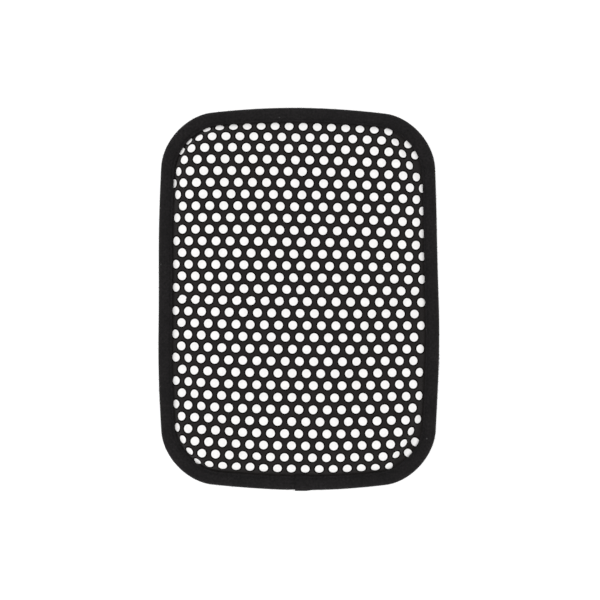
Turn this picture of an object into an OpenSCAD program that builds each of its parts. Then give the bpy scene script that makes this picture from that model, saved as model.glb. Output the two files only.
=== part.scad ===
// Padded rest with a dotted face, a foam core and a bound edge, in millimetres.
// It lies on its flat back at z = 0, its crowned face is up, and its length runs along Y.

/* [Outline] */
// Width across the middle
pad_w = 204; // [180:1:260]
// Length along the middle
pad_l = 278; // [240:1:360]
// Corner radius, before the sides are bowed
corner_r = 35; // [30:1:45]
// How much rounder the tape's inner edge is at the corners than tape of even width would be
corner_gain = 5.5; // [0:0.5:8]
// How far each long side bulges at its middle
side_bow = 4; // [0:0.5:8]
// How far each end bulges at its middle
end_bow = 8.5; // [0:0.5:12]

/* [Crown] */
// Rise of the steep roll beside the binding
roll_h = 1.5; // [0.5:0.5:6]
// Distance in from the binding that the roll takes to rise
roll_w = 3.5; // [3:0.5:12]
// Further rise of the shoulder
shoulder_h = 5; // [2:0.5:12]
// Distance in from the binding that the shoulder takes to rise
shoulder_w = 25; // [20:1:40]
// Further rise from the shoulder to the middle
crown_h = 4; // [0:0.5:10]

/* [Layers] */
// Thickness of the dotted face fabric
face_t = 0.8; // [0.5:0.1:1.5]
// Thickness of the foam where the binding squeezes it
foam_edge_t = 1.6; // [1:0.1:4]
// Thickness of the backing fabric
backing_t = 0.7; // [0.5:0.1:1.5]

/* [Binding tape] */
// Thickness of the woven tape
tape_t = 0.8; // [0.6:0.1:1.2]
// Width of the tape on each side of the pad
tape_w = 9.6; // [8:0.1:14]
// Length of the lap where the tape's two ends meet
lap_l = 7.7; // [5:0.1:20]
// Distance of the lap's open end from the middle of the pad's end
lap_offset = 2.8; // [0:0.1:10]

/* [Raised dots] */
// Diameter of one dot
dot_d = 6.5; // [4:0.1:8]
// Height of a dot above the face fabric
dot_h = 0.5; // [0.2:0.1:1]
// Distance between neighbours in a row
dot_pitch = 10.4; // [9:0.1:14]
// Distance between rows, which are staggered by half a pitch
row_pitch = 8.6; // [7.5:0.1:12]
// Angle at which the rows run down to the right
row_tilt = 0.95; // [0:0.05:3]

/* [Stitching] */
// Thickness of the sewing thread
thread_d = 0.34; // [0.2:0.02:0.4]
// Distance of the binding's stitch line from the tape's inner edge
stitch_in = 1.5; // [1:0.1:3]
// Distance from one stitch to the next along the binding
stitch_pitch = 3.3; // [2:0.1:5]
// Distance of the hidden joining seam from the pad's edge
seam_in = 4; // [3:0.1:5]
// Distance from one stitch to the next along the joining seam
seam_pitch = 5; // [3:0.5:8]

/* [Hidden] */

// Straight-sided rectangle that the bowed outline is made from
half_w = pad_w / 2 - side_bow;
half_l = pad_l / 2 - end_bow;

// Heights of the layers at the bound edge, from the back up
backing_z = tape_t;
foam_z = backing_z + backing_t;
face_z = foam_z + foam_edge_t;
tape_top_z = face_z + face_t;
edge_t = tape_top_z + tape_t;

// The crowned part of the face, inside the tape
crown_hw = half_w - tape_w;
crown_hl = half_l - tape_w;
crown_r = corner_r - tape_w + corner_gain;

// Where the backing steps down from under the tape to the resting plane
step_in = tape_w + 0.3;
step_w = backing_t;

// A stitch groove takes one thread with a little room
groove_w = thread_d + 0.3;
groove_d = thread_d + 0.06;
stitch_inset = tape_w - stitch_in;
stitch_fill = 0.78;

// Depths of the rings that the crowned face is built on
crown_rings = concat(
    [for (share = [0, 0.25, 0.5, 0.75, 1]) share * roll_w],
    [for (share = [0.2, 0.45, 0.7, 1]) roll_w + share * (shoulder_w - roll_w)],
    [for (share = [0.2, 0.45, 0.7, 0.85]) shoulder_w + share * (crown_hw - shoulder_w)]
);
ARC_STEPS = 10;
SIDE_STEPS = 10;
MIN_RING_R = 6;

// The dot beside the middle of the face, and the most dots or rows on either side of it
dot_origin = [6.2, -1.7];
most_dots = ceil((pad_w + pad_l) / 2 / dot_pitch);
most_rows = ceil(pad_l / row_pitch / 2);
SLOPE_STEP = 0.01;

// ---- Plan shape ----

// Plan position of a point of the straight-sided rectangle
function bow(p) = [
    p.x + side_bow * p.x / half_w * (1 - pow(p.y / half_l, 2)),
    p.y + end_bow * p.y / half_l * (1 - pow(p.x / half_w, 2))
];

// The point of the straight-sided rectangle that bow() moves to the plan position q
function unbow(q, p, turns = 5) = turns == 0 ? p : unbow(q, [
    q.x / (1 + side_bow / half_w * (1 - pow(p.y / half_l, 2))),
    q.y / (1 + end_bow / half_l * (1 - pow(p.x / half_w, 2)))
], turns - 1);

// Points round a rectangle of half sizes a and b with corners of radius r
function rounded_rect(a, b, r) = [
    for (q = [0:3])
        let (from = corner(q, a - r, b - r), to = corner(q + 1, a - r, b - r))
        each concat(
            [for (k = [0:ARC_STEPS - 1]) from + r * turn(PI / 2 * (q + k / ARC_STEPS))],
            [for (k = [0:SIDE_STEPS - 1])
                from + (to - from) * k / SIDE_STEPS + r * turn(PI / 2 * (q + 1))]
        )
];

// Corner q of a rectangle of half sizes a and b, anticlockwise from the upper right
function corner(q, a, b) = [q % 4 == 0 || q % 4 == 3 ? a : -a, q % 4 < 2 ? b : -b];

// Unit direction at an angle in radians
function turn(radians) = [cos(radians * 180 / PI), sin(radians * 180 / PI)];

// Corner radius of the outline when it is inset
function inset_r(inset) = max(corner_r - inset + corner_gain * min(inset / tape_w, 1), MIN_RING_R);

// The outline's ring, inset and still straight-sided
function ring(inset) = rounded_rect(half_w - inset, half_l - inset, inset_r(inset));

// The outline, inset by a distance and bowed
function outline(inset) = [for (p = ring(inset)) bow(p)];

// Plan position at a distance d along an inset outline, starting low on the +X side
function along(inset, d) =
    let (
        a = half_w - inset,
        b = half_l - inset,
        r = inset_r(inset),
        side = 2 * (b - r),
        end = 2 * (a - r),
        arc = PI * r / 2,
        half = side + end + 2 * arc,
        e = d % half,
        p = e < side ? [a, e - side / 2]
            : e < side + arc ? [a - r, b - r] + r * turn((e - side) / r)
            : e < side + arc + end ? [a - r - (e - side - arc), b]
            : [r - a, b - r] + r * turn((e - side - arc - end) / r + PI / 2)
    )
    bow(d < half ? p : -p);

// Length round an inset outline before it is bowed
function girth(inset) =
    4 * (half_w + half_l - 2 * inset - 2 * inset_r(inset)) + 2 * PI * inset_r(inset);

// ---- Crown ----

// Distance of a straight-sided point inside the tape's inner edge
function depth(p) =
    let (q = [abs(p.x) - crown_hw + crown_r, abs(p.y) - crown_hl + crown_r])
    crown_r - norm([max(q.x, 0), max(q.y, 0)]) - min(max(q.x, q.y), 0);

// Share of its full height that a rounded rise of width w reaches at a depth
function rise(d, w) = 1 - pow(1 - min(max(d, 0) / w, 1), 2);

// Height of the face's outer surface over a straight-sided point
function crown_z(p) =
    let (middle = (1 - pow(p.x / crown_hw, 2)) * (1 - pow(p.y / crown_hl, 2)))
    tape_top_z + roll_h * rise(depth(p), roll_w)
        + (shoulder_h + crown_h * middle) * rise(depth(p), shoulder_w);

// The same height over a plan position
function face_at(q) = crown_z(unbow(q, q));

// Rings of the crown's surface, lowered by drop, from the tape's inner edge to the middle
function crown_loops(drop) = [
    for (d = crown_rings)
        [for (p = ring(tape_w + d)) [bow(p).x, bow(p).y, crown_z(p) - drop]]
];

// A level ring at one height
function level(inset, z) = [for (p = outline(inset)) [p.x, p.y, z]];

function reversed(list) = [for (k = [len(list) - 1:-1:0]) list[k]];

// Closed solid from rings that run from the middle of its underside to the middle of its top
module ringed_solid(loops, bottom, top) {
    n = len(loops[0]);
    points = concat([bottom], [for (loop = loops) each loop], [top]);
    last = len(points) - 1;
    faces = concat(
        [for (k = [0:n - 1]) [0, 1 + k, 1 + (k + 1) % n]],
        [for (j = [0:len(loops) - 2], k = [0:n - 1])
            each let (a = 1 + j * n + k, b = 1 + j * n + (k + 1) % n)
                [[a, a + n, b], [b, a + n, b + n]]],
        [for (k = [0:n - 1]) [last, last - n + (k + 1) % n, last - n + k]]
    );
    polyhedron(points, faces);
}

// Flat band between two insets of the outline
module band(outer, inner, z, h) {
    translate([0, 0, z])
        linear_extrude(h)
            difference() {
                polygon(outline(outer));
                polygon(outline(inner));
            }
}

// One row of stitches along an inset outline, lying at height z
module stitch_row(inset, pitch, z) {
    count = round(girth(inset) / pitch);
    step = girth(inset) / count;
    for (k = [0:count - 1]) {
        a = along(inset, k * step);
        b = along(inset, (k + stitch_fill) * step);
        translate([a.x, a.y, z])
            rotate([0, 90, atan2(b.y - a.y, b.x - a.x)])
                cylinder(d = thread_d, h = norm(b - a), $fn = 16);
    }
}

// ---- Sub-parts ----

// Knitted face panel: flat under the tape, then crowned
module face_fabric() {
    under = crown_loops(face_t);
    over = crown_loops(0);
    color("#292727")
        ringed_solid(
            concat(
                reversed(under),
                [level(tape_t, face_z), level(tape_t, tape_top_z)],
                over
            ),
            [0, 0, crown_z([0, 0]) - face_t],
            [0, 0, crown_z([0, 0])]
        );
}

// Raised dots printed on the face, cut off where the tape covers them
module raised_dots() {
    across = dot_pitch * [cos(row_tilt), -sin(row_tilt)];
    up = row_pitch * [sin(row_tilt), cos(row_tilt)] + across / 2;
    color("#f8f7f6")
        for (j = [-most_rows:most_rows], i = [-most_dots:most_dots]) {
            p = dot_origin + i * across + j * up;
            on_pad = abs(p.x) < pad_w / 2 && abs(p.y) < pad_l / 2;
            d = on_pad ? depth(unbow(p, p)) : 0;
            if (d > dot_d / 2)
                dot(p);
            else if (d > dot_h)
                intersection() {
                    dot(p);
                    linear_extrude(edge_t + roll_h + shoulder_h + crown_h)
                        polygon(outline(tape_w));
                }
        }
}

// One dot, flat on the slope of the face
module dot(p) {
    slope = [
        (face_at(p + [SLOPE_STEP, 0]) - face_at(p - [SLOPE_STEP, 0])) / (2 * SLOPE_STEP),
        (face_at(p + [0, SLOPE_STEP]) - face_at(p - [0, SLOPE_STEP])) / (2 * SLOPE_STEP)
    ];
    translate([p.x, p.y, face_at(p)])
        rotate([0, atan(norm(slope)), atan2(-slope.y, -slope.x)])
            cylinder(d = dot_d, h = dot_h, $fn = 32);
}

// Foam slab, squeezed thin under the tape and filling the crown
module foam_core() {
    color("#8d8b86")
        ringed_solid(
            concat(
                [level(step_in + step_w, backing_t), level(step_in + step_w, foam_z)],
                [level(tape_t, foam_z), level(tape_t, face_z)],
                crown_loops(face_t)
            ),
            [0, 0, backing_t],
            [0, 0, crown_z([0, 0]) - face_t]
        );
}

// Back panel, level with the tape's underside except where it steps up under the tape
module backing_fabric() {
    color("#242323") {
        linear_extrude(backing_t)
            polygon(outline(step_in));
        band(step_in, step_in + step_w, 0, foam_z);
        band(tape_t, step_in + step_w, backing_z, backing_t);
    }
}

// Woven tape folded over the edge, with grooves for the stitches and a lap at one end
module edge_binding() {
    color("#242223")
        difference() {
            union() {
                band(0, tape_w, 0, tape_t);
                band(0, tape_t, 0, edge_t);
                band(0, tape_w, tape_top_z, tape_t);
                intersection() {
                    band(0, tape_w, tape_top_z, 2 * tape_t);
                    translate([-lap_offset, -pad_l, 0])
                        cube([lap_l, pad_l, pad_l]);
                }
            }
            stitch_groove(stitch_inset, -1, groove_d + 1);
            stitch_groove(stitch_inset, edge_t - groove_d, tape_t + 1);
            stitch_groove(seam_in, tape_t - groove_d, groove_d + foam_edge_t);
            stitch_groove(seam_in, tape_top_z - foam_edge_t, groove_d + foam_edge_t);
        }
}

// Room for a row of stitches
module stitch_groove(inset, z, h) {
    band(inset - groove_w / 2, inset + groove_w / 2, z, h);
}

// Upper thread of the binding's lockstitch, lying on the face side
module needle_thread() {
    color("#1d1c1c")
        stitch_row(stitch_inset, stitch_pitch, edge_t - groove_d + thread_d / 2 + 0.01);
}

// Lower thread of the binding's lockstitch, lying on the back
module bobbin_thread() {
    color("#1d1c1c")
        stitch_row(stitch_inset, stitch_pitch, groove_d - thread_d / 2 - 0.01);
}

// Hidden seam that joins face, foam and backing before the tape goes on
module joining_seam_thread() {
    color("#3a3939") {
        stitch_row(seam_in, seam_pitch, tape_top_z + thread_d / 2 + 0.01);
        stitch_row(seam_in, seam_pitch, tape_t - thread_d / 2 - 0.01);
    }
}

face_fabric();
raised_dots();
foam_core();
backing_fabric();
edge_binding();
needle_thread();
bobbin_thread();
joining_seam_thread();
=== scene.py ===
"""Looks of the bound foam pad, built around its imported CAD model.

Lengths are millimetres in the model's frame until new_piece() writes them to a mesh in metres.
"""

import math

import bpy
import numpy as np
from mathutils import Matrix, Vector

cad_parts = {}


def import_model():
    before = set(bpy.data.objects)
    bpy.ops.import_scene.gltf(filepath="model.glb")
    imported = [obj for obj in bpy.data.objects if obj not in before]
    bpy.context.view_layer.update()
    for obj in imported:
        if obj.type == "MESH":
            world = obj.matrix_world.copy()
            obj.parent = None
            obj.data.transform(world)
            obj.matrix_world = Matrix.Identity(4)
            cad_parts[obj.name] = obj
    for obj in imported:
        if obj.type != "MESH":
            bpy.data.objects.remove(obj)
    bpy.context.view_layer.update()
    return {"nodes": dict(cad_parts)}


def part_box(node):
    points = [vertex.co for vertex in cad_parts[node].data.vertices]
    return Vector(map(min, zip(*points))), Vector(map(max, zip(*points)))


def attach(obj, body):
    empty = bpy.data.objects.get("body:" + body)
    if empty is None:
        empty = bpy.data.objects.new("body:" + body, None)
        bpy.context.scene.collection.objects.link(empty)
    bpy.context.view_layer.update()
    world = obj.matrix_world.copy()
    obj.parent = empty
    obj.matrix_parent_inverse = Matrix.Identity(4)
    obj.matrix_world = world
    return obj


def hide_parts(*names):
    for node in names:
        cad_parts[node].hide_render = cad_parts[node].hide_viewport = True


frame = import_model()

MM = 0.001
RNG = np.random.default_rng(7)

# ---- Sizes, in millimetres ----

# Repeated from the CAD source
CORNER_R = 35
CORNER_GAIN = 5.5
BOW = np.array([4, 8.5])
ROLL_H = 1.5
ROLL_W = 3.5
SHOULDER_H = 5
CROWN_H = 4
FACE_T = 0.8
BACKING_T = 0.7
TAPE_T = 0.8
TAPE_W = 9.6
LAP_L = 7.7
LAP_OFFSET = 2.8
THREAD_D = 0.34
STITCH_INSET = 8.1
STITCH_PITCH = 3.3

# Worked out from the frame: the tape is highest at its lap, where it lies double
TAPE_HIGH = np.array(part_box("edge_binding")[1]) / MM
HALF = TAPE_HIGH[:2] - BOW
EDGE_T = TAPE_HIGH[2] - TAPE_T
FACE_Z = EDGE_T - TAPE_T
BACKING_Z = TAPE_T
CROWN_HALF = HALF - TAPE_W

# The outline's unevenness: waves round it, size of each, and where it bulges out, in degrees
OUTLINE_WAVES = [(0, 0.3, 0), (1, 0.4, 176), (2, 0.3, -90), (3, 0.35, -70), (5, 0.25, -40),
                 (6, 0.2, -145)]
# How far inside the tape the unevenness dies away
WAVES_REACH = 40

# The shoulder's width, a little more than in the CAD source, and how it and the height of the roll
# differ round the pad: direction and spread in degrees, and change
SHOULDER_W = 27
SHOULDER_CHANGES = [(0, 35, 0.33), (45, 25, -0.55), (90, 35, -0.02), (135, 25, -0.67),
                    (180, 35, 0.23), (-135, 25, -0.6), (-90, 35, -0.3), (-45, 25, -0.54)]
ROLL_CHANGES = [(0, 35, 0.06), (45, 25, -0.3), (90, 35, -0.4), (135, 25, 0.9),
                (180, 35, 0.3), (-135, 25, 0.8), (-90, 35, -0.03), (-45, 25, 0.2)]
# Where the face starts to rise, inside the tape's inner edge, and how soft that start is
RISE_IN = 1.3
RISE_SOFT = 0.4

# The print on the flat panel: staggered rows of dots, each a little smaller than in the CAD source
DOT_D = 6.4
PRINT_PITCH = 10.38
PRINT_ROW = 8.65
PRINT_TILT = math.radians(0.815)
PRINT_ORIGIN = np.array([6.2, -1.75])
# How the sewn cloth skews and bows the print: for each pair of powers of the place across and
# along, the drift at DRIFT_AT from the middle
DRIFT_AT = 100
PRINT_DRIFT = {(2, 0): (1.55, 0.6), (1, 1): (0.55, -0.5), (0, 2): (0.2, -0.9),
               (2, 1): (0.15, -3.05), (1, 2): (-1.2, -0.4)}

# How deep the seam pinches the face beside the tape, and half the width of the pinch
PINCH = 0.6
PINCH_HALF = 0.9

# Soft folds, where the face steps down to the left of a line: drop, half width of the step,
# how far the lower shelf reaches, and the line
FOLDS = [
    (2.2, 2.6, 15, [(-24, -118), (-31, -115), (-46, -106), (-50, -97), (-56, -88), (-70, -78),
                    (-76, -68), (-81, -43), (-86, -30)]),
    (1.9, 2.6, 18, [(94, 9), (85, 6), (70, -2), (54, -11), (48, -20), (47, -37), (41, -45),
                    (36, -54), (30, -64)]),
    (5.6, 5.2, 11, [(92, -80), (88, -88), (83, -97), (77, -105.5), (72, -114), (63, -122)]),
    (2.6, 3.0, 9, [(60, 123), (70, 115), (76, 106), (81, 98), (87, 86)]),
]
# Share of a fold's line in which it grows at each end, and how far inside the tape it is whole
FOLD_ENDS = 0.15
FOLD_IN = 6

# ---- Plan shape ----


def corner_radius(from_edge):
    """Corner radius of the outline moved in: the tape widens round the corners."""
    return CORNER_R - from_edge + CORNER_GAIN * np.clip(from_edge / TAPE_W, 0, 1)


def inset(p, turns=4):
    """Distance of straight-sided points inside the outline."""
    from_edge = np.full(p.shape[:-1], TAPE_W)
    for _ in range(turns):
        full = corner_radius(from_edge) + from_edge
        q = np.abs(p) - HALF + full[..., None]
        past = np.linalg.norm(np.maximum(q, 0), axis=-1)
        from_edge = full - past - np.minimum(q.max(-1), 0)
    return from_edge


def smoothstep(x):
    """From 0 to 1, level at both ends."""
    x = np.clip(x, 0, 1)
    return x * x * (3 - 2 * x)


def uneven(q, d):
    """How far a hand-sewn outline strays from the drawn one, fading out inwards."""
    angle = np.arctan2(q[..., 1], q[..., 0])
    size = sum(a * np.cos(k * angle - math.radians(at)) for k, a, at in OUTLINE_WAVES)
    size = size * (1 - smoothstep((d - TAPE_W) / WAVES_REACH))
    far = np.maximum(np.linalg.norm(q, axis=-1), 1)
    return q * (size / far)[..., None]


def bow(p):
    """Plan positions of straight-sided points."""
    q = p + p / HALF * BOW * (1 - ((p / HALF) ** 2)[..., ::-1])
    return q + uneven(q, inset(p))


def unbow(q, turns=12):
    """The straight-sided points that bow() moves to plan positions."""
    p = q.copy()
    for _ in range(turns):
        p = np.clip(p + q - bow(p), -HALF - BOW, HALF + BOW)
    return p


# ---- Face surface ----


class Field:
    """Values on a square plan grid, read between its points."""

    STEP = 0.5

    def __init__(self):
        self.reach = np.ceil(TAPE_HIGH[:2]) + 2
        self.x, self.y = (np.arange(-r, r + self.STEP / 2, self.STEP) for r in self.reach)
        self.q = np.stack(np.meshgrid(self.x, self.y), -1)

    def read(self, values, q):
        """values at plan positions q."""
        at = np.clip((q + self.reach) / self.STEP, 0, [len(self.x) - 1.001, len(self.y) - 1.001])
        low = at.astype(int)
        i, j = low[..., 0], low[..., 1]
        u, v = (at - low)[..., 0], (at - low)[..., 1]
        if values.ndim == 3:
            u, v = u[..., None], v[..., None]
        near = values[j, i] * (1 - u) + values[j, i + 1] * u
        far = values[j + 1, i] * (1 - u) + values[j + 1, i + 1] * u
        return near * (1 - v) + far * v


def line_distance(q, line):
    """Distance of plan points from a line of points, its side, and the share of the line passed."""
    line = np.array(line, float)
    best = np.full(q.shape[:-1], np.inf)
    side, share = np.zeros(best.shape), np.zeros(best.shape)
    for k, (a, b) in enumerate(zip(line[:-1], line[1:])):
        along = b - a
        t = np.clip(((q - a) @ along) / (along @ along), 0, 1)
        off = q - a - t[..., None] * along
        far = np.linalg.norm(off, axis=-1)
        nearer = far < best
        best = np.where(nearer, far, best)
        cross = along[0] * off[..., 1] - along[1] * off[..., 0]
        side = np.where(nearer, np.sign(cross), side)
        share = np.where(nearer, (k + t) / (len(line) - 1), share)
    return best, side, share


def smooth_max(x, soft):
    """max(x, 0) with its corner rounded."""
    return (x + np.sqrt(x * x + soft * soft)) / 2


def changed(size, changes, p):
    """A size that differs round the pad."""
    angle = np.degrees(np.arctan2(p[..., 1] / HALF[1], p[..., 0] / HALF[0]))
    total = 1.0
    for at, spread, change in changes:
        off = (angle - at + 180) % 360 - 180
        total = total + change * np.exp(-((off / spread) ** 2))
    return size * total


def rise(depth, width):
    """Share of its full height that a rounded rise reaches at a depth."""
    return 1 - (1 - np.minimum(depth / width, 1)) ** 2


def crown(p):
    """Height of the face's outer surface over straight-sided points, without its folds."""
    depth = smooth_max(inset(p) - TAPE_W - RISE_IN, RISE_SOFT)
    middle = np.prod(1 - np.minimum((p / CROWN_HALF) ** 2, 1), axis=-1)
    roll = changed(ROLL_H, ROLL_CHANGES, p) * rise(depth, ROLL_W)
    shoulder_w = changed(SHOULDER_W, SHOULDER_CHANGES, p)
    return FACE_Z + roll + (SHOULDER_H + CROWN_H * middle) * rise(depth, shoulder_w)


def folds(q):
    """How far the soft folds lower the face at plan points."""
    total = np.zeros(q.shape[:-1])
    for drop, half, reach, line in FOLDS:
        far, side, share = line_distance(q, line)
        ends = smoothstep(share / FOLD_ENDS) * smoothstep((1 - share) / FOLD_ENDS)
        step = smoothstep(0.5 + side * far / (2 * half))
        total += drop * ends * step * np.exp(-((far / reach) ** 2))
    return total


def arc_length(slope, axis):
    """Length along the surface from the pad's middle line, positive on the positive side."""
    step = np.hypot(1, slope) * Field.STEP
    total = np.cumsum(step, axis) - step / 2
    middle = np.take(total, [total.shape[axis] // 2], axis)
    return total - middle


def measured(height):
    """A face's height with its slope, and the place of each of its points on the flat cut panel."""
    slope = np.stack(np.gradient(height, Field.STEP)[::-1], -1)
    return height, slope, np.stack([arc_length(slope[..., 0], 1), arc_length(slope[..., 1], 0)], -1)


field = Field()
field_p = unbow(field.q)
field_depth = inset(field_p) - TAPE_W
face_height = crown(field_p) - folds(field.q) * smoothstep(field_depth / FOLD_IN)
face_height -= PINCH * np.exp(-((field_depth / PINCH_HALF) ** 2))
face_height, face_slope, flat_place = measured(face_height)


def place_on_face(uv, turns=40, share=0.55):
    """Plan positions of points of the flat panel: each turn takes a share of the error away."""
    q = uv.copy()
    for _ in range(turns):
        q = q + share * (uv - field.read(flat_place, q))
    return q


def print_place(steps):
    """Places of dots on the flat panel, from their steps across and up the print."""
    turn = np.array([math.cos(PRINT_TILT), -math.sin(PRINT_TILT)])
    across = PRINT_PITCH * turn
    up = PRINT_ROW * np.array([-turn[1], turn[0]]) + across / 2
    uv = PRINT_ORIGIN + steps[..., :1] * across + steps[..., 1:] * up
    u, v = np.split(uv / DRIFT_AT, 2, axis=-1)
    return uv + sum(u ** a * v ** b * np.array(drift) for (a, b), drift in PRINT_DRIFT.items())


def face_points(q, height=0.0):
    """Points over plan positions q, a height above the face's outer surface along its normal."""
    normal = np.concatenate([-field.read(face_slope, q), np.ones(q.shape[:-1] + (1,))], -1)
    normal /= np.linalg.norm(normal, axis=-1, keepdims=True)
    base = np.concatenate([q, field.read(face_height, q)[..., None]], -1)
    return base + normal * np.asarray(height)[..., None]


# ---- Meshes ----

# The map of a mesh that holds its points' places on the flat cloth
WEAVE = "weave"


def new_piece(name, points, faces, replaced, paint, uv=None):
    """A piece from points in millimetres, that stands for a CAD node and rides with the pad."""
    mesh = bpy.data.meshes.new(name)
    mesh.from_pydata((np.asarray(points).reshape(-1, 3) * MM).tolist(), [], faces)
    mesh.polygons.foreach_set("use_smooth", [True] * len(mesh.polygons))
    if uv is not None:
        corners = np.zeros(len(mesh.loops), int)
        mesh.loops.foreach_get("vertex_index", corners)
        layer = mesh.uv_layers.new(name=WEAVE)
        layer.data.foreach_set("uv", (np.asarray(uv).reshape(-1, 2)[corners] * MM).ravel())
    mesh.materials.append(paint)
    mesh.validate()
    piece = bpy.data.objects.new(name, mesh)
    bpy.context.scene.collection.objects.link(piece)
    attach(piece, "root")
    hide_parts(replaced)
    return piece


def straight_grid(from_edge, spacing):
    """Straight-sided points inside the outline, in rows and columns drawn in at its corners."""
    half = HALF - from_edge
    r = corner_radius(from_edge)

    def stops(a):
        bend = np.linspace(0, 1, max(2, round(r / spacing)) + 1)
        flat = np.linspace(-1, 1, round(2 * (a - r) / spacing) + 1)[1:-1] * (a - r)
        return np.concatenate([-(a - r) - r * bend[::-1], flat, a - r + r * bend])

    p = np.stack(np.meshgrid(stops(half[0]), stops(half[1])), -1)
    past = np.clip((np.abs(p) - half + r) / r, 0, 1)
    drawn = past * np.sqrt(1 - past[..., ::-1] ** 2 / 2)
    return p + np.sign(p) * r * (drawn - past)


def layer_faces(rows, columns):
    """Faces of a closed layer: a grid of points above, the same below, and walls round them."""
    n = rows * columns
    at = np.arange(n).reshape(rows, columns)
    top = np.stack([at[:-1, :-1], at[:-1, 1:], at[1:, 1:], at[1:, :-1]], -1).reshape(-1, 4)
    rim = np.concatenate([at[0, :-1], at[:-1, -1], at[-1, :0:-1], at[:0:-1, 0]])
    onward = np.roll(rim, -1)
    walls = np.stack([rim + n, onward + n, onward, rim], -1)
    return np.concatenate([top, top[:, ::-1] + n, walls]).tolist()


def layer(name, over, under, replaced, slot, paint, uv):
    """A closed layer between two grids of points."""
    faces = layer_faces(*over.shape[:2])
    points, places = np.stack([over, under]), np.stack([uv, uv])
    return new_piece(name, points, faces, replaced, paint, places)


# ---- Swelling ----

# How far inside the outline the panels and the foam end, under the tape
PANEL_INSET = 1.0
# How far the cloth may swell from its slack start, and how far from the tape it is all free
SWELL = 0.8
SWELL_REACH = 40
# Spacing, pressure and length of the simulation, and how its result is smoothed between its points
SWELL_SPACING = 4
SWELL_PRESSURE = 4
SWELL_FRAMES = 20
SWELL_BLUR = 3
LEAST_WEIGHT = 1e-3


def blurred(values, reach):
    """Values on the plan grid, smoothed over a distance."""
    steps = np.arange(-3 * reach, 3 * reach + Field.STEP, Field.STEP)
    kernel = np.exp(-((steps / reach) ** 2) / 2)
    for axis in (0, 1):
        values = np.apply_along_axis(np.convolve, axis, values, kernel, "same")
    return values


def simulated(points, faces, held):
    """Points of a closed cloth, in millimetres, swollen under pressure with some points held."""
    mesh = bpy.data.meshes.new("swelling cloth")
    mesh.from_pydata((points.reshape(-1, 3) * MM).tolist(), [], faces)
    cloth = bpy.data.objects.new("swelling cloth", mesh)
    scene = bpy.context.scene
    scene.collection.objects.link(cloth)
    group = cloth.vertex_groups.new(name="held")
    group.add(held.tolist(), 1.0, "ADD")
    swelling = cloth.modifiers.new("swelling", "CLOTH")
    swelling.settings.vertex_group_mass = group.name
    swelling.settings.use_pressure = True
    swelling.settings.uniform_pressure_force = SWELL_PRESSURE
    swelling.settings.effector_weights.gravity = 0
    swelling.point_cache.frame_end = SWELL_FRAMES
    for frame_number in range(1, SWELL_FRAMES + 1):
        scene.frame_set(frame_number)
    shape = cloth.evaluated_get(bpy.context.evaluated_depsgraph_get()).data
    moved = np.zeros(len(shape.vertices) * 3)
    shape.vertices.foreach_get("co", moved)
    scene.frame_set(1)
    bpy.data.objects.remove(cloth)
    bpy.data.meshes.remove(mesh)
    return moved.reshape(points.shape) / MM


def swollen(height):
    """The face's height after the sewn pad has swollen from a slack start."""
    p = straight_grid(PANEL_INSET, SWELL_SPACING)
    q = bow(p)
    slack = height - SWELL * smoothstep(field_depth / SWELL_REACH)
    over = np.concatenate([q, field.read(slack, q)[..., None]], -1)
    under = np.concatenate([q, np.full(q.shape[:-1] + (1,), BACKING_Z)], -1)
    count = q.size // 2
    held = np.concatenate([np.flatnonzero(inset(p).ravel() < TAPE_W), np.arange(count, 2 * count)])
    moved = simulated(np.stack([over, under]), layer_faces(*q.shape[:2]), held)[0]
    change = SWELL * np.tanh((moved - over)[..., 2] / SWELL)
    at = np.rint((q + field.reach) / Field.STEP).astype(int)
    total, weight = np.zeros(height.shape), np.zeros(height.shape)
    np.add.at(total, (at[..., 1], at[..., 0]), change)
    np.add.at(weight, (at[..., 1], at[..., 0]), 1)
    weight = np.maximum(blurred(weight, SWELL_BLUR), LEAST_WEIGHT)
    return slack + blurred(total, SWELL_BLUR) / weight


face_height, face_slope, flat_place = measured(swollen(face_height))

# ---- Materials ----

# The dots' tone is kept on their mesh: the knit's at the outside, a painted black shadow ring round
# each dot, and then white print with painted shade a little darker over its outer half
TONE = "tone"
KNIT_TONE, SHADOW_FADE_TONE, SHADOW_TONE, RIM_SHADE_TONE, PRINT_TONE = 0.0, 0.4, 0.5, 0.985, 1.0
# Pitches of the weaves, in millimetres
KNIT_COLUMN, KNIT_COURSE = 0.9, 0.62
TAPE_RIB, TAPE_WARP = 0.62, 0.4
BACKING_YARN = 1.1
THREAD_TWIST = 0.35


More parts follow.
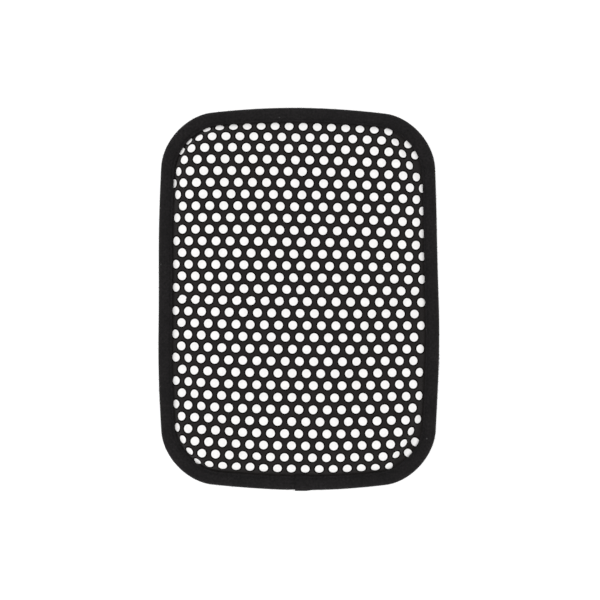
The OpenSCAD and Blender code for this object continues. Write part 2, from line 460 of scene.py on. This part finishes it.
class Nodes:
    """A short way to write a material's nodes."""

    def __init__(self, name):
        self.material = bpy.data.materials.new(name)
        self.material.use_nodes = True
        self.tree = self.material.node_tree
        self.shader = self.tree.nodes["Principled BSDF"]

    def add(self, kind, inputs=(), **settings):
        """A node with its settings, and its inputs from values or other nodes' outputs."""
        node = self.tree.nodes.new("ShaderNode" + kind)
        for key, value in settings.items():
            setattr(node, key, value)
        for key, value in dict(inputs).items():
            self.set(node, key, value)
        return node

    def set(self, node, key, value):
        if isinstance(value, bpy.types.NodeSocket):
            self.tree.links.new(value, node.inputs[key])
        else:
            node.inputs[key].default_value = value

    def finish(self, **inputs):
        for key, value in inputs.items():
            self.set(self.shader, key.replace("_", " "), value)
        return self.material

    def math(self, operation, a, b=0.0):
        return self.add("Math", {0: a, 1: b}, operation=operation).outputs[0]

    def place(self):
        """Position in the pad's frame, in metres."""
        return self.add("TexCoord").outputs["Object"]

    def weave(self):
        """Place on the flat cloth, in metres, as two numbers."""
        split = self.add("SeparateXYZ", {0: self.add("UVMap", uv_map=WEAVE).outputs[0]})
        return split.outputs[0], split.outputs[1]

    def noise(self, per_metre, detail=2.0, rough=0.5, vector=None):
        node = self.add("TexNoise", {"Vector": vector or self.place(), "Scale": per_metre,
                                     "Detail": detail, "Roughness": rough})
        return node.outputs[0]

    def ramp(self, value, low, high, to_low=0.0, to_high=1.0):
        node = self.add("MapRange", {0: value, 1: low, 2: high, 3: to_low, 4: to_high})
        return node.outputs[0]

    def mix(self, share, a, b):
        node = self.add("Mix", data_type="RGBA")
        for key, value in ((0, share), (6, a), (7, b)):
            self.set(node, key, value)
        return node.outputs[2]

    def bump(self, height, deep_mm, strength=1.0, normal=None):
        """A bump of that depth for heights from 0 to 1."""
        inputs = {"Height": height, "Distance": deep_mm * MM, "Strength": strength}
        if normal is not None:
            inputs["Normal"] = normal
        return self.add("Bump", inputs).outputs[0]

    def wave(self, along, pitch_mm, shift=0.0):
        """A cosine from 0 to 1 along a length in metres."""
        turns = self.math("MULTIPLY_ADD", along, 2 * math.pi / (pitch_mm * MM))
        turns.node.inputs[2].default_value = shift if isinstance(shift, float) else 0.0
        if not isinstance(shift, float):
            turns = self.math("ADD", turns, shift)
        return self.ramp(self.math("COSINE", turns), -1.0, 1.0)


def grey(value, red=1.0, blue=1.0):
    return (value * red, value, value * blue, 1.0)


def lint(n, color, pale, per_metre=45, size=0.012):
    """Mixes sparse pale specks of lint into a cloth's colour."""
    spots = n.add("TexVoronoi", {"Vector": n.place(), "Scale": per_metre})
    near = n.ramp(spots.outputs["Distance"], size, size * 2, 1.0, 0.0)
    chosen = n.add("SeparateXYZ", {0: spots.outputs["Color"]}).outputs[0]
    share = n.math("MULTIPLY", near, n.ramp(chosen, 0.8, 0.85))
    return n.mix(share, color, pale)


def knit_material():
    """Black warp knit: fine chevron loops, with soft mottling and lint, and painted shade between
    the loops.
    """
    n = Nodes("face knit")
    u, v = n.weave()
    column = n.wave(u, KNIT_COLUMN)
    chevron = n.wave(v, KNIT_COURSE, n.math("MULTIPLY", column, 2.6))
    loops = n.math("MULTIPLY_ADD", chevron, 0.6)
    n.set(loops.node, 2, n.math("MULTIPLY", n.wave(u, KNIT_COLUMN / 2), 0.4))
    mottle = n.noise(180.0, 3.0)
    fibre = n.noise(2600.0, 2.0)
    dark, light = grey(0.011, 1.19, 0.98), grey(0.0175, 1.2, 0.98)
    color = n.mix(n.ramp(mottle, 0.3, 0.7), dark, light)
    # Painted shade: the low parts of the loops are mixed towards near black
    color = n.mix(n.ramp(loops, 0.1, 0.9, 0.55, 0.0), color, grey(0.004))
    color = lint(n, color, grey(0.25))
    rough = n.ramp(fibre, 0.2, 0.8, 0.75, 0.95)
    normal = n.bump(fibre, 0.05, 0.5, n.bump(loops, 0.14))
    return n.finish(Base_Color=color, Roughness=rough, Normal=normal, Specular_IOR_Level=0.17,
                    Sheen_Weight=0.1, Sheen_Roughness=0.45)


def dot_material():
    """Matte white print that shows a little of the knit under it, with a painted shadow ring round
    it in the knit and painted shade on its outer half.
    """
    n = Nodes("dot print")
    u, v = n.weave()
    under = n.math("MULTIPLY", n.wave(u, KNIT_COLUMN), n.wave(v, KNIT_COURSE))
    grain = n.noise(1500.0, 2.0)
    patch = n.noise(260.0, 2.0)
    dull, white = grey(0.845, 1.014, 0.993), grey(0.905, 1.012, 0.993)
    color = n.mix(n.ramp(patch, 0.35, 0.65), dull, white)
    tone = n.add("Attribute", attribute_name=TONE).outputs["Fac"]
    knit, black = grey(0.022, 1.14, 0.98), grey(0.001)
    # Painted shadow: the ring round each dot runs from the knit's colour to black
    painted_shadow = n.mix(n.ramp(tone, KNIT_TONE, SHADOW_TONE), knit, black)
    # White print, with painted shade a little darker over its outer half
    color = n.mix(n.ramp(tone, SHADOW_TONE, PRINT_TONE), painted_shadow, color)
    rough = n.ramp(grain, 0.2, 0.8, 0.55, 0.75)
    normal = n.bump(grain, 0.02, 0.5, n.bump(under, 0.03, 0.6))
    return n.finish(Base_Color=color, Roughness=rough, Normal=normal, Specular_IOR_Level=0.0)


def tape_material():
    """Black ribbed tape: ribs across it, fine warp lines along it, and painted shade between the
    ribs.
    """
    n = Nodes("binding tape")
    u, v = n.weave()
    ribs = n.wave(u, TAPE_RIB, n.math("MULTIPLY", n.noise(90.0), 3.0))
    warp = n.wave(v, TAPE_WARP)
    height = n.math("MULTIPLY_ADD", ribs, 0.75)
    n.set(height.node, 2, n.math("MULTIPLY", warp, 0.25))
    patches = n.ramp(n.noise(75.0, 3.0, 0.6), 0.3, 0.7, 0.5, 1.0)
    fine = n.ramp(n.noise(600.0, 3.0, 0.7), 0.3, 0.7, 0.1, 1.0)
    wear = n.math("MULTIPLY", patches, fine)
    color = n.mix(wear, grey(0.002, 1.12, 1.05), grey(0.018, 1.16, 1.07))
    # Painted shade: the low parts between ribs and warp lines are mixed towards near black
    color = n.mix(n.ramp(height, 0.0, 0.8, 0.5, 0.0), color, grey(0.002))
    color = lint(n, color, grey(0.06), per_metre=150, size=0.05)
    color = lint(n, color, grey(0.12), per_metre=60, size=0.012)
    fibre = n.noise(3000.0, 2.0)
    rough = n.ramp(fibre, 0.2, 0.8, 0.62, 0.85)
    normal = n.bump(fibre, 0.04, 0.4, n.bump(height, 0.12))
    return n.finish(Base_Color=color, Roughness=rough, Normal=normal, Specular_IOR_Level=0.14,
                    Sheen_Weight=0.06, Sheen_Roughness=0.4)


def thread_material():
    """Black twisted sewing thread, with painted shade in the grooves of its twist."""
    n = Nodes("sewing thread")
    u, v = n.weave()
    turn = n.wave(n.math("ADD", u, n.math("MULTIPLY", v, 0.8)), THREAD_TWIST)
    # Painted shade: the thread's colour is darker in the grooves of its twist and lighter on its
    # crests
    color = n.mix(turn, grey(0.004), grey(0.012))
    return n.finish(Base_Color=color, Roughness=0.7, Normal=n.bump(turn, 0.05),
                    Specular_IOR_Level=0.15)


def foam_material():
    """Grey open-cell foam."""
    n = Nodes("foam")
    cells = n.add("TexVoronoi", {"Vector": n.place(), "Scale": 900.0}).outputs["Distance"]
    shade = n.ramp(n.noise(60.0, 3.0), 0.3, 0.7)
    color = n.mix(shade, grey(0.2, 1.05, 0.93), grey(0.3, 1.04, 0.92))
    color = n.mix(n.ramp(cells, 0.1, 0.6, 0.0, 0.5), color, grey(0.1, 1.04, 0.92))
    return n.finish(Base_Color=color, Roughness=0.9, Normal=n.bump(cells, 0.4, 0.7))


def backing_material():
    """Black plain-woven cloth, with painted shade between its yarns."""
    n = Nodes("backing cloth")
    u, v = n.weave()
    over = n.math("MULTIPLY", n.wave(u, BACKING_YARN), n.wave(v, BACKING_YARN))
    u_under, v_under = n.wave(u, BACKING_YARN, math.pi), n.wave(v, BACKING_YARN, math.pi)
    under = n.math("MULTIPLY", u_under, v_under)
    height = n.math("ADD", over, under)
    mottle = n.noise(120.0, 3.0)
    color = n.mix(n.ramp(mottle, 0.3, 0.7), grey(0.012, 1.03), grey(0.019, 1.04))
    # Painted shade: the low parts between the yarns are mixed towards near black
    color = n.mix(n.ramp(height, 0.0, 0.8, 0.6, 0.0), color, grey(0.004))
    color = lint(n, color, grey(0.2))
    fibre = n.noise(2500.0, 2.0)
    rough = n.ramp(fibre, 0.2, 0.8, 0.65, 0.85)
    normal = n.bump(fibre, 0.04, 0.5, n.bump(height, 0.15))
    return n.finish(Base_Color=color, Roughness=rough, Normal=normal, Specular_IOR_Level=0.3,
                    Sheen_Weight=0.1, Sheen_Roughness=0.4)


# ---- Face panel ----

PANEL_SPACING = 1.2


def face_panel():
    p = straight_grid(PANEL_INSET, PANEL_SPACING)
    q = bow(p)
    over = face_points(q)
    under = face_points(q, np.full(q.shape[:-1], -FACE_T))
    piece = layer("face_fabric_panel", over, under, "face_fabric", "face_fabric", knit_material(),
                  field.read(flat_place, q))


# ---- Raised dots ----

DOT_SIDES = 20
# Radius as a share of the dot's, height above the cloth, and tone: from under the cloth, round the
# painted shadow ring, and over the print's painted rim shade up to the middle
DOT_PROFILE = [(0.7, -0.2, KNIT_TONE), (1.4, -0.12, KNIT_TONE), (1.38, 0.04, KNIT_TONE),
               (1.24, 0.07, SHADOW_FADE_TONE), (1.0, 0.07, SHADOW_TONE), (0.985, 0.13, PRINT_TONE),
               (0.94, 0.22, RIM_SHADE_TONE), (0.8, 0.3, RIM_SHADE_TONE), (0.45, 0.33, RIM_SHADE_TONE)]
DOT_BASE = -0.2
DOT_TOP = 0.34
# How the dots differ, as shares of their radius: in size, and in each of the waves round their rims
DOT_UNEVEN = 0.008
DOT_WAVE = 0.006
# How far the print runs past the outline, and how many dots each way from its first one are tried
PRINT_MARGIN = 8
PRINT_STEPS = 40
# Share of a dot's rim that the tape leaves clear, at least, if the dot is there at all
LEAST_CLEAR = 0.45
# How far a dot runs under the tape
UNDER_TAPE = 1.2


def dot_centres():
    """Places of the dots on the flat panel that show."""
    steps = np.arange(-PRINT_STEPS, PRINT_STEPS + 1)
    i, j = np.meshgrid(steps, steps)
    uv = print_place(np.stack([i.ravel(), j.ravel()], -1))
    uv = uv[(np.abs(uv) < HALF + BOW + PRINT_MARGIN).all(1)]
    angle = np.linspace(0, 2 * math.pi, DOT_SIDES, endpoint=False)
    rim = uv[:, None] + DOT_D / 2 * np.stack([np.cos(angle), np.sin(angle)], -1)
    clear = inset(unbow(place_on_face(rim))) > TAPE_W
    return uv[clear.mean(1) > LEAST_CLEAR]


def raised_dots():
    centres = dot_centres()
    count = len(centres)
    angle = np.linspace(0, 2 * math.pi, DOT_SIDES, endpoint=False)
    radius = DOT_D / 2 * RNG.normal(1, DOT_UNEVEN, (count, 1))
    for waves in (2, 3):
        size = RNG.normal(0, DOT_WAVE, (count, 1))
        shift = RNG.uniform(0, 2 * math.pi, (count, 1))
        radius = radius + DOT_D / 2 * size * np.cos(waves * angle + shift)
    unit = np.stack([np.cos(angle), np.sin(angle)], -1)
    shares, heights, tones = np.array(DOT_PROFILE).T
    ring = radius[:, None, :, None] * shares[None, :, None, None] * unit
    middle = centres[:, None]
    uv = np.concatenate([middle + ring.reshape(count, -1, 2), middle, middle], 1)
    q = under_tape(place_on_face(uv))
    height = np.append(np.repeat(heights, DOT_SIDES), [DOT_BASE, DOT_TOP])
    points = face_points(q, np.broadcast_to(height, q.shape[:-1]))
    faces = []
    per_dot = uv.shape[1]
    for k in range(count):
        base = k * per_dot
        for r in range(len(DOT_PROFILE) - 1):
            low = base + r * DOT_SIDES
            for s in range(DOT_SIDES):
                t = (s + 1) % DOT_SIDES
                faces.append((low + s, low + t, low + DOT_SIDES + t, low + DOT_SIDES + s))
        low = base + (len(DOT_PROFILE) - 1) * DOT_SIDES
        top = base + per_dot - 1
        faces += [(low + s, low + (s + 1) % DOT_SIDES, top) for s in range(DOT_SIDES)]
        faces += [(base + (s + 1) % DOT_SIDES, base + s, top - 1) for s in range(DOT_SIDES)]
    piece = new_piece("raised_dot_prints", points, faces, "raised_dots",
                      dot_material(), uv)
    tone = piece.data.attributes.new(TONE, "FLOAT", "POINT")
    dot_tones = np.append(np.repeat(tones, DOT_SIDES), [KNIT_TONE, PRINT_TONE])
    tone.data.foreach_set("value", np.tile(dot_tones, count))


def under_tape(q, turns=3, step=0.05):
    """Keeps plan points from running further under the tape than a dot does."""
    for _ in range(turns):
        p = unbow(q)
        short = np.maximum(TAPE_W - UNDER_TAPE - inset(p), 0)
        inward = [inset(p + move) - inset(p - move) for move in step * np.eye(2)]
        q = bow(p + np.stack(inward, -1) / (2 * step) * short[..., None])
    return q


# ---- Edge binding ----

# Outer skin of the folded tape, from its lower inner edge round the fold to its upper inner edge:
# distance in from the outline, height, and how thick the tape is there
TAPE_LINE = [(9.6, 0.14, 0.66), (9.35, 0.02, 0.74), (8.8, 0.04, 0.74), (8.4, 0.2, 0.58),
             (8.1, 0.3, 0.45), (7.8, 0.2, 0.58), (7.3, 0.06, 0.72), (6.2, 0, 0.78), (5.0, 0, 0.78),
             (4.4, 0.01, 0.6), (4.0, 0.01, 0.42), (3.6, 0.02, 0.6), (2.8, 0.06, 0.74),
             (1.8, 0.22, 0.74), (1.0, 0.62, 0.74), (0.4, 1.2, 0.74), (0.08, 1.9, 0.74),
             (0, 2.45, 0.74), (0.08, 3.0, 0.74), (0.45, 3.65, 0.74), (1.1, 4.25, 0.74),
             (1.9, 4.65, 0.74), (3.0, 4.9, 0.74), (4.2, 5.02, 0.74), (5.4, 5.0, 0.74),
             (6.5, 4.9, 0.74), (7.2, 4.78, 0.74), (7.65, 4.6, 0.62), (7.9, 4.46, 0.5),
             (8.1, 4.38, 0.43), (8.3, 4.44, 0.5), (8.55, 4.56, 0.6), (8.9, 4.7, 0.72),
             (9.25, 4.76, 0.74), (9.5, 4.74, 0.7), (9.6, 4.6, 0.56)]
# Distance along the tape over which its lap lifts or presses it
LAP_FADE = 6
# Height up to which the lap only presses the tape in, and how much higher it only lifts it
PRESSED_Z = 1.2
LIFTED_ABOVE = 2.4
# How deep a stitch pulls the tape in at its holes, half the width of the pulled strip, and the most
# that the tape bulges between holes
HOLE_PULL = 0.22
HOLE_REACH = 0.9
HOLE_BULGE = 0.05
# The fold's middle height, and how far the tape is from it where it lies on the pad's faces
FOLD_Z = 2.5
FOLD_HALF = 1.5
# Loose fibres all round the fold, and where more of them stand: plan place, spread along the edge,
# number
FRAY_COUNT = 120
FRAYS = [((102, -47), 6, 45), ((-102, -70), 4, 16), ((-92, 118), 10, 14), ((20, 139), 25, 12)]
# Their lengths, radii and heights, how deep their roots lie in the tape, the share of their length
# that they rise, the most that they lean and turn, in radians, and how thin their tips are
FRAY_LENGTH = (0.4, 1.3)
FRAY_RADIUS = (0.04, 0.09)
FRAY_Z = (1.6, 3.6)
FRAY_ROOT = 0.15
FRAY_RISE = (-0.2, 0.3)
FRAY_LEAN = 1.3
FRAY_TURN = 1
FRAY_TIP = 0.6
FRAY_RINGS = 6
FRAY_SIDES = 5
# Places along the fold among which the nearest one to a plan place is found
FOLD_PLACES = 2000


def outline_length(from_edge):
    """Length round an inset outline before it is bowed."""
    r = corner_radius(from_edge)
    return 4 * (HALF.sum() - 2 * from_edge - 2 * r) + 2 * math.pi * r


STITCHES = round(outline_length(STITCH_INSET) / STITCH_PITCH)
# Length of one stitch along the outline, and how many rows of the tape's mesh it spans
STITCH_STEP = outline_length(0) / STITCHES
STATIONS = 5
# Middles of the corner arcs, as shares of the straight part, clockwise from the -Y end's middle
TURNING_POINTS = np.array([(0, -1), (-1, -1), (-1, 1), (1, 1), (1, -1), (0, -1)])


def along_outline(distance, from_edge):
    """Straight-sided points a distance clockwise along the outline, each moved in from the edge."""
    flat = 2 * (HALF - CORNER_R)
    arc = math.pi * CORNER_R / 2
    legs = [flat[0] / 2, arc, flat[1], arc, flat[0], arc, flat[1], arc, flat[0] / 2]
    starts = np.concatenate([[0], np.cumsum(legs)])
    d = distance % starts[-1]
    leg = np.clip(np.searchsorted(starts, d, side="right") - 1, 0, len(legs) - 1)
    share = (d - starts[leg]) / np.take(legs, leg)
    turn = (leg // 2 + np.where(leg % 2 == 1, share, 0)) * math.pi / 2
    outward = np.stack([-np.sin(turn), -np.cos(turn)], -1)
    come, go = TURNING_POINTS[(leg + 1) // 2], TURNING_POINTS[leg // 2 + 1]
    middle = come + share[..., None] * (go - come)
    r = corner_radius(from_edge)[..., None]
    return middle * (HALF - np.asarray(from_edge)[..., None] - r) + r * outward


def from_joint(distance, total):
    """Signed distance from the middle of the -Y end, where the tape's two ends lap."""
    return (distance + total / 2) % total - total / 2


def over_lap(distance):
    """How far the upper layer is lifted before and over the lap, as a share of the tape's depth."""
    return smoothstep((distance + LAP_L - LAP_OFFSET + LAP_FADE) / LAP_FADE)


def under_lap(distance):
    """How far the under layer is pressed in at the lap and after it, as such a share."""
    return 1 - smoothstep((distance - LAP_OFFSET) / LAP_FADE)


def tubes(middle, radius, sides):
    """Points and faces of closed tubes, one along each row of points, lying nearly flat."""
    count, rings = middle.shape[:2]
    angle = np.linspace(0, 2 * math.pi, sides, endpoint=False)[:, None]
    ahead = np.gradient(middle[..., :2], axis=1)
    ahead /= np.linalg.norm(ahead, axis=-1, keepdims=True)
    aside = np.stack([-ahead[..., 1], ahead[..., 0], np.zeros(ahead.shape[:2])], -1)
    ring = aside[:, :, None] * np.cos(angle) + np.array([0, 0, 1]) * np.sin(angle)
    at = np.arange(count * rings * sides).reshape(count, rings, sides)
    onward = np.roll(at, -1, axis=2)
    sheath = np.stack([at[:, :-1], onward[:, :-1], onward[:, 1:], at[:, 1:]], -1)
    ends = at[:, 0, ::-1].tolist() + at[:, -1].tolist()
    points = middle[:, :, None] + ring * radius[..., None, None]
    return points, sheath.reshape(-1, 4).tolist() + ends


def frays():
    """Points and faces of short loose fibres on the tape's fold."""
    total = outline_length(0)
    around = np.linspace(0, total, FOLD_PLACES)
    edge = bow(along_outline(around, np.zeros(around.shape)))
    places = [RNG.uniform(0, total, FRAY_COUNT)]
    for place, spread, number in FRAYS:
        nearest = around[np.argmin(np.linalg.norm(edge - place, axis=-1))]
        places.append(RNG.normal(nearest, spread, number))
    start = np.concatenate(places)
    count = len(start)
    one = (count, 1)
    t = np.linspace(0, 1, FRAY_RINGS)
    length = RNG.uniform(*FRAY_LENGTH, one)
    lean = RNG.uniform(-FRAY_LEAN, FRAY_LEAN, one) + RNG.uniform(-FRAY_TURN, FRAY_TURN, one) * t
    out = np.cumsum(np.cos(lean), 1) * length / FRAY_RINGS - FRAY_ROOT
    along = np.cumsum(np.sin(lean), 1) * length / FRAY_RINGS
    z = RNG.uniform(*FRAY_Z, one) + RNG.uniform(*FRAY_RISE, one) * length * t
    place = bow(along_outline(start[:, None] + along, -out))
    radius = RNG.uniform(*FRAY_RADIUS, one) * np.linspace(1, FRAY_TIP, FRAY_RINGS)
    return tubes(np.concatenate([place, z[..., None]], -1), radius, FRAY_SIDES)


def edge_binding():
    total = outline_length(0)
    first = -(LAP_L - LAP_OFFSET)
    last = total + LAP_OFFSET
    count = round((last - first) / STITCH_STEP * STATIONS)
    distance = np.linspace(first, last, count + 1)
    line = np.array(TAPE_LINE)
    skin, thick = line[:, :2], line[:, 2]
    direction = np.gradient(skin, axis=0)
    direction /= np.linalg.norm(direction, axis=1, keepdims=True)
    outward = np.stack([-direction[:, 1], direction[:, 0]], -1)

    # Shares of lifting and of pressing in: the under layer gives way below, the upper one above
    high = np.clip((skin[:, 1] - PRESSED_Z) / LIFTED_ABOVE, 0, 1)
    lift = over_lap(distance - total)[:, None] * high * TAPE_T
    sink = under_lap(distance)[:, None] * (1 - high) * TAPE_T
    hole = 0.5 + 0.5 * np.cos(2 * math.pi * distance / STITCH_STEP)
    flat = np.abs(skin[:, 1] - FOLD_Z) > FOLD_HALF
    near = np.exp(-(((skin[:, 0] - STITCH_INSET) / HOLE_REACH) ** 2)) * flat
    pull = HOLE_PULL * (hole[:, None] - 0.5) * near

    def sweep(section, shift):
        moved = section[None] + outward[None] * shift[..., None]
        p = along_outline(np.broadcast_to(distance[:, None], shift.shape), moved[..., 0])
        height = moved[..., 1] + high * (crown(p) - FACE_Z)
        return np.concatenate([bow(p), height[..., None]], -1)

    over = sweep(skin, lift - sink - np.maximum(pull, -HOLE_BULGE))
    under = sweep(skin - outward * thick[:, None], lift - sink)
    across = np.concatenate([[0], np.cumsum(np.linalg.norm(np.diff(skin, axis=0), axis=1))])
    uv = np.stack(np.broadcast_arrays(distance[:, None], across[None]), -1)
    fibres, fibre_faces = frays()
    points = np.concatenate([part.reshape(-1, 3) for part in (over, under, fibres)])
    first_fibre = 2 * over.size // 3
    faces = layer_faces(*over.shape[:2])
    faces += [[first_fibre + k for k in face] for face in fibre_faces]
    uv = np.concatenate([uv.reshape(-1, 2), uv.reshape(-1, 2), np.zeros((fibres.size // 3, 2))])
    new_piece("folded_binding_tape", points, faces, "edge_binding",
              tape_material(), uv)


# ---- Backing and foam ----

BACKING_SPACING = 3
# Where the backing steps down from under the tape, inside its inner edge, and how wide the step is
BACKING_STEP_IN = 0.2
BACKING_STEP_W = 2.2
FOAM_SPACING = 2
# Room between the foam and both panels
FOAM_ROOM = 0.05
# How much further than the cloth the foam is pressed down by the seam, and how far from it
FOAM_SQUEEZE = 0.6
FOAM_SQUEEZE_REACH = 3


def backing_height(p):
    """Underside of the back panel: flat on the ground, stepping up under the tape and its lap."""
    lap = over_lap(-p[..., 0]) * under_lap(-p[..., 0]) * (p[..., 1] < 0)
    down = smoothstep((inset(p) - TAPE_W - BACKING_STEP_IN) / BACKING_STEP_W)
    return (BACKING_Z + TAPE_T * lap) * (1 - down)


def backing_panel():
    p = straight_grid(PANEL_INSET, BACKING_SPACING)
    q = bow(p)
    low = backing_height(p)
    under = np.concatenate([q, low[..., None]], -1)
    over = np.concatenate([q, low[..., None] + BACKING_T], -1)
    piece = layer("backing_panel", over, under, "backing_fabric", "backing_fabric",
                  backing_material(), q)


def foam_slab():
    p = straight_grid(PANEL_INSET, FOAM_SPACING)
    q = bow(p)
    squeezed = FOAM_SQUEEZE * np.exp(-(((inset(p) - TAPE_W) / FOAM_SQUEEZE_REACH) ** 2))
    over = face_points(q, -FACE_T - FOAM_ROOM - squeezed)
    low = backing_height(p) + BACKING_T + FOAM_ROOM
    under = np.concatenate([over[..., :2], low[..., None]], -1)
    piece = layer("foam_slab", over, under, "foam_core", "foam", foam_material(), q)


# ---- Stitches ----

# Heights of the lower and upper threads' middle lines, and how far their ends dip into the holes
THREAD_Z = (0.2, 4.47)
THREAD_SAG = 0.26
# Where a stitch starts and how long it is, as shares of its pitch, and how thin its ends are
STITCH_START = 0.1
STITCH_SHARE = 0.8
STITCH_END = 0.6
STITCH_RINGS = 7
THREAD_SIDES = 8


def stitches(name, replaced, paint, side):
    """A row of sunken stitches along the tape, on its upper side or, for side -1, its lower one."""
    t = np.linspace(0, 1, STITCH_RINGS)
    start = np.arange(STITCHES)[:, None] + STITCH_START
    distance = (start + STITCH_SHARE * t) * STITCH_STEP
    p = along_outline(distance, np.full(distance.shape, STITCH_INSET))
    if side > 0:
        joint = from_joint(distance, outline_length(0))
        z = THREAD_Z[1] + crown(p) - FACE_Z + TAPE_T * over_lap(joint) * (joint < LAP_OFFSET)
    else:
        z = np.full(distance.shape, THREAD_Z[0])
    z = z - side * THREAD_SAG * (2 * t - 1) ** 4
    full = np.where((t == 0) | (t == 1), STITCH_END, 1.0)
    radius = THREAD_D / 2 * full * np.ones(distance.shape)
    tube, faces = tubes(np.concatenate([bow(p), z[..., None]], -1), radius, THREAD_SIDES)
    along = np.broadcast_to(distance[:, :, None], tube.shape[:3])
    round_it = np.broadcast_to(np.linspace(0, math.pi, THREAD_SIDES) * THREAD_D, tube.shape[:3])
    uv = np.stack([along, round_it], -1)
    new_piece(name, tube, faces, replaced, paint, uv)


face_panel()
foam_slab()
raised_dots()
edge_binding()
backing_panel()
thread = thread_material()
stitches("needle_stitches", "needle_thread", thread, 1)
stitches("bobbin_stitches", "bobbin_thread", thread, -1)
# The hidden seam keeps its CAD shape
joining_seam = frame["nodes"]["joining_seam_thread"].data.materials
joining_seam.clear()
joining_seam.append(thread)

# ---- Stage, light and camera, in metres ----

FLOOR_RADIUS = 4
FLOOR_Z = -0.0003
# Where the camera stands over the pad, its lens and film width in millimetres, and a height with
# the width that it sees there
CAMERA_XY = (0.00084, -0.00058)
LENS = 120
FILM_W = 36
SEEN_Z = 0.005
SEEN_W = 0.437


def floor():
    """Pale ground that the pad lies on."""
    bpy.ops.mesh.primitive_circle_add(vertices=96, radius=FLOOR_RADIUS, fill_type="NGON",
                                      location=(0, 0, FLOOR_Z))
    ground = bpy.context.object
    ground.name = "floor"
    n = Nodes("pale ground")
    n.finish(Base_Color=grey(0.82), Roughness=0.9, Specular_IOR_Level=0.1,
             Emission_Color=grey(1.0), Emission_Strength=0.45)
    ground.data.materials.append(n.material)


def area_light(name, place, size, watts):
    data = bpy.data.lights.new(name, "AREA")
    data.shape = "DISK"
    data.size = size
    data.energy = watts
    lamp = bpy.data.objects.new(name, data)
    bpy.context.scene.collection.objects.link(lamp)
    lamp.location = place
    lamp.rotation_euler = (-lamp.location).to_track_quat("-Z", "Y").to_euler()


def world(strength):
    sky = bpy.data.worlds.new("studio")
    sky.use_nodes = True
    background = sky.node_tree.nodes["Background"]
    background.inputs["Color"].default_value = grey(1.0)
    background.inputs["Strength"].default_value = strength
    bpy.context.scene.world = sky


def camera():
    """Looks straight down with a long lens, a little off the pad's middle."""
    data = bpy.data.cameras.new("camera")
    data.lens = LENS
    data.sensor_width = FILM_W
    data.clip_end = 20
    eye = bpy.data.objects.new("camera", data)
    eye.location = (*CAMERA_XY, SEEN_W * data.lens / data.sensor_width + SEEN_Z)
    bpy.context.scene.collection.objects.link(eye)
    bpy.context.scene.camera = eye


floor()
world(strength=0.94)
area_light("key", (0.7, -1.5, 0.9), size=1.2, watts=5)
area_light("fill", (-1.0, 0.7, 1.3), size=1.5, watts=6)
camera()
bpy.context.scene.view_settings.view_transform = "Standard"
